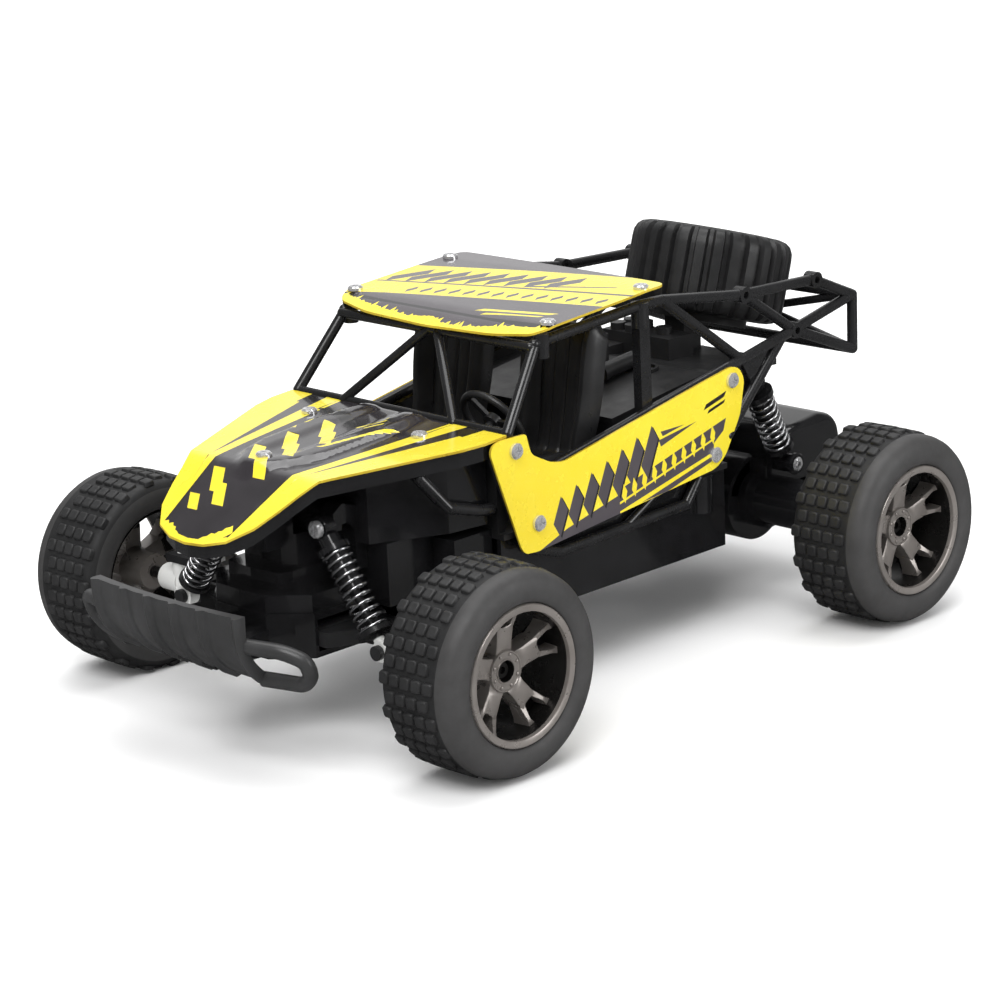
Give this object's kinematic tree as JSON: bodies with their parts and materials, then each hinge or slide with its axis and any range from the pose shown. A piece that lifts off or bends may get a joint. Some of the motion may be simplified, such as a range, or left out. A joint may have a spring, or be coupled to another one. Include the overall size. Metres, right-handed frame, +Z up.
{
  "type": "rc buggy",
  "caption": "Toy radio-controlled off-road buggy with a tube cage, alloy body panels, steered front wheels, coil-over suspension and a driven rear axle unit.",
  "frame": {"origin": "centre of the footprint on the ground plane", "axes": "-Y is forward, +X is the car's left side, +Z is up"},
  "size_m": [0.204, 0.2941, 0.1337],
  "materials": {
    "black_gloss": "glossy moulded ABS",
    "black_satin": "satin moulded plastic",
    "bumper_plastic": "satin flexible plastic",
    "cage_plastic": "semi-gloss moulded tube",
    "arm_plastic": "satin nylon",
    "yellow_sheet": "printed lacquered alloy sheet",
    "chrome_screw": "polished steel",
    "white_nylon": "natural nylon",
    "tyre_rubber": "matt rubber",
    "rim_gunmetal": "gunmetal plated plastic",
    "shock_black": "glossy moulded plastic",
    "rod_steel": "ground steel",
    "spring_steel": "nickel plated wire",
    "gear_nylon": "moulded nylon",
    "motor_can": "drawn steel can",
    "cell_wrap": "shrink wrap"
  },
  "bodies": {
    "chassis": {"chassis_tub": "black_gloss", "battery_cover": "black_gloss", "battery_pack": "cell_wrap", "cockpit_body": "black_satin", "dashboard": "black_satin", "engine_dummy": "black_satin", "front_bulkhead": "black_gloss", "front_bumper": "bumper_plastic", "nose_tray": "black_gloss", "hood_panel": "yellow_sheet", "roof_panel": "yellow_sheet", "windscreen_frame": "cage_plastic", "rear_rack": "cage_plastic", "panel_screws": "chrome_screw", "suspension_pins": "chrome_screw", "steering_servo": "black_satin", "spare_tyre": "tyre_rubber", "cage_left": "cage_plastic", "cage_right": "cage_plastic", "seat_left": "black_satin", "seat_right": "black_satin", "door_panel_left": "yellow_sheet", "door_panel_right": "yellow_sheet"},
    "steering_rack": {"steering_rack": "arm_plastic"},
    "servo_horn": {"servo_horn": "black_satin"},
    "rear_axle": {"axle_housing": "black_gloss", "motor_cover": "black_gloss", "drive_motor": "motor_can"},
    "rear_wheels": {"rear_shaft": "rod_steel", "axle_gear": "gear_nylon", "rear_tyre_left": "tyre_rubber", "rear_tyre_right": "tyre_rubber", "rear_rim_left": "rim_gunmetal", "rear_rim_right": "rim_gunmetal"},
    "motor_pinion": {"motor_pinion": "rod_steel"},
    "power_switch": {"power_switch": "black_satin"},
    "front_arm_left": {"front_arm_left": "arm_plastic"},
    "knuckle_left": {"knuckle_left": "white_nylon", "wheel_bolt_left": "chrome_screw"},
    "front_wheel_left": {"front_tyre_left": "tyre_rubber", "front_rim_left": "rim_gunmetal"},
    "tie_rod_left": {"tie_rod_left": "arm_plastic"},
    "front_shock_left": {"front_shock_body_left": "shock_black", "front_spring_left": "spring_steel"},
    "front_shock_rod_left": {"front_shock_rod_left": "rod_steel"},
    "rear_shock_left": {"rear_shock_body_left": "shock_black", "rear_spring_left": "spring_steel"},
    "rear_shock_rod_left": {"rear_shock_rod_left": "rod_steel"},
    "front_arm_right": {"front_arm_right": "arm_plastic"},
    "knuckle_right": {"knuckle_right": "white_nylon", "wheel_bolt_right": "chrome_screw"},
    "front_wheel_right": {"front_tyre_right": "tyre_rubber", "front_rim_right": "rim_gunmetal"},
    "tie_rod_right": {"tie_rod_right": "arm_plastic"},
    "front_shock_right": {"front_shock_body_right": "shock_black", "front_spring_right": "spring_steel"},
    "front_shock_rod_right": {"front_shock_rod_right": "rod_steel"},
    "rear_shock_right": {"rear_shock_body_right": "shock_black", "rear_spring_right": "spring_steel"},
    "rear_shock_rod_right": {"rear_shock_rod_right": "rod_steel"}
  },
  "joints": [
    {"name": "rack_slide", "type": "slide", "parent": "chassis", "child": "steering_rack", "axis": [1, 0, 0], "range_m": [-0.00439, 0.00439]},
    {"name": "horn_turn", "type": "hinge", "parent": "chassis", "child": "servo_horn", "pos_m": [0, -0.066, 0.038], "axis": [0, 0, 1], "range_deg": [-29.19, 29.19]},
    {"name": "rear_axle_pitch", "type": "hinge", "parent": "chassis", "child": "rear_axle", "pos_m": [0, 0.072, 0.038], "axis": [1, 0, 0], "range_deg": [0, 8], "stiffness_Nm_per_rad": 1.6, "springref_deg": -11.46},
    {"name": "rear_wheels_spin", "type": "hinge", "parent": "rear_axle", "child": "rear_wheels", "pos_m": [0, 0.1075, 0.034], "axis": [1, 0, 0], "continuous": true},
    {"name": "motor_pinion_spin", "type": "hinge", "parent": "rear_axle", "child": "motor_pinion", "pos_m": [0, 0.11846, 0.04496], "axis": [1, 0, 0], "continuous": true},
    {"name": "power_switch_slide", "type": "slide", "parent": "chassis", "child": "power_switch", "axis": [0, 1, 0], "range_m": [0, 0.004]},
    {"name": "front_arm_left_hinge", "type": "hinge", "parent": "chassis", "child": "front_arm_left", "pos_m": [0.02, -0.093, 0.034], "axis": [0, -1, 0], "range_deg": [0, 10], "stiffness_Nm_per_rad": 0.8, "springref_deg": -14.32},
    {"name": "knuckle_left_steer", "type": "hinge", "parent": "front_arm_left", "child": "knuckle_left", "pos_m": [0.06, -0.0875, 0.034], "axis": [0, 0, 1], "range_deg": [-18.02, 18.02]},
    {"name": "front_wheel_left_spin", "type": "hinge", "parent": "knuckle_left", "child": "front_wheel_left", "pos_m": [0.084, -0.0875, 0.034], "axis": [1, 0, 0], "continuous": true},
    {"name": "tie_rod_left_swing", "type": "hinge", "parent": "steering_rack", "child": "tie_rod_left", "pos_m": [0.02, -0.074, 0.034], "axis": [0, -1, 0], "range_deg": [0, 10.02]},
    {"name": "front_shock_left_swing", "type": "hinge", "parent": "chassis", "child": "front_shock_left", "pos_m": [0.0222, -0.0961, 0.0694], "axis": [0, -1, 0], "range_deg": [0, 3.68]},
    {"name": "front_shock_rod_left_slide", "type": "slide", "parent": "front_shock_left", "child": "front_shock_rod_left", "axis": [-0.5847, 0, 0.8113], "range_m": [0, 0.00408], "deforming": ["front_spring_left"]},
    {"name": "rear_shock_left_swing", "type": "hinge", "parent": "chassis", "child": "rear_shock_left", "pos_m": [0.041, 0.0918, 0.0812], "axis": [1, 0, 0], "range_deg": [0, 1]},
    {"name": "rear_shock_rod_left_slide", "type": "slide", "parent": "rear_shock_left", "child": "rear_shock_rod_left", "axis": [0, -0.4483, 0.8939], "range_m": [0, 0.00522], "deforming": ["rear_spring_left"]},
    {"name": "front_arm_right_hinge", "type": "hinge", "parent": "chassis", "child": "front_arm_right", "pos_m": [-0.02, -0.093, 0.034], "axis": [0, 1, 0], "range_deg": [0, 10], "stiffness_Nm_per_rad": 0.8, "springref_deg": -14.32},
    {"name": "knuckle_right_steer", "type": "hinge", "parent": "front_arm_right", "child": "knuckle_right", "pos_m": [-0.06, -0.0875, 0.034], "axis": [0, 0, 1], "range_deg": [-18.02, 18.02]},
    {"name": "front_wheel_right_spin", "type": "hinge", "parent": "knuckle_right", "child": "front_wheel_right", "pos_m": [-0.084, -0.0875, 0.034], "axis": [1, 0, 0], "continuous": true},
    {"name": "tie_rod_right_swing", "type": "hinge", "parent": "steering_rack", "child": "tie_rod_right", "pos_m": [-0.02, -0.074, 0.034], "axis": [0, 1, 0], "range_deg": [0, 10.02]},
    {"name": "front_shock_right_swing", "type": "hinge", "parent": "chassis", "child": "front_shock_right", "pos_m": [-0.0222, -0.0961, 0.0694], "axis": [0, 1, 0], "range_deg": [0, 3.68]},
    {"name": "front_shock_rod_right_slide", "type": "slide", "parent": "front_shock_right", "child": "front_shock_rod_right", "axis": [0.5847, 0, 0.8113], "range_m": [0, 0.00408], "deforming": ["front_spring_right"]},
    {"name": "rear_shock_right_swing", "type": "hinge", "parent": "chassis", "child": "rear_shock_right", "pos_m": [-0.041, 0.0918, 0.0812], "axis": [1, 0, 0], "range_deg": [0, 1]},
    {"name": "rear_shock_rod_right_slide", "type": "slide", "parent": "rear_shock_right", "child": "rear_shock_rod_right", "axis": [0, -0.4483, 0.8939], "range_m": [0, 0.00522], "deforming": ["rear_spring_right"]}
  ],
  "couplings": [
    {"joint": "horn_turn", "follows": "rack_slide", "rad_per_m": 116.06},
    {"joint": "motor_pinion_spin", "follows": "rear_wheels_spin", "ratio": -4.1667},
    {"joint": "knuckle_left_steer", "follows": "rack_slide", "rad_per_m": -71.621},
    {"joint": "tie_rod_left_swing", "follows": "front_arm_left_hinge", "ratio": 1},
    {"joint": "front_shock_left_swing", "follows": "front_arm_left_hinge", "ratio": 0.36611},
    {"joint": "front_shock_rod_left_slide", "follows": "front_arm_left_hinge", "m_per_rad": 0.023353},
    {"joint": "rear_shock_left_swing", "follows": "rear_axle_pitch", "ratio": 0.12265},
    {"joint": "rear_shock_rod_left_slide", "follows": "rear_axle_pitch", "m_per_rad": 0.037359},
    {"joint": "knuckle_right_steer", "follows": "rack_slide", "rad_per_m": -71.621},
    {"joint": "tie_rod_right_swing", "follows": "front_arm_right_hinge", "ratio": 1},
    {"joint": "front_shock_right_swing", "follows": "front_arm_right_hinge", "ratio": 0.36611},
    {"joint": "front_shock_rod_right_slide", "follows": "front_arm_right_hinge", "m_per_rad": 0.023353},
    {"joint": "rear_shock_right_swing", "follows": "rear_axle_pitch", "ratio": 0.12265},
    {"joint": "rear_shock_rod_right_slide", "follows": "rear_axle_pitch", "m_per_rad": 0.037359}
  ]
}
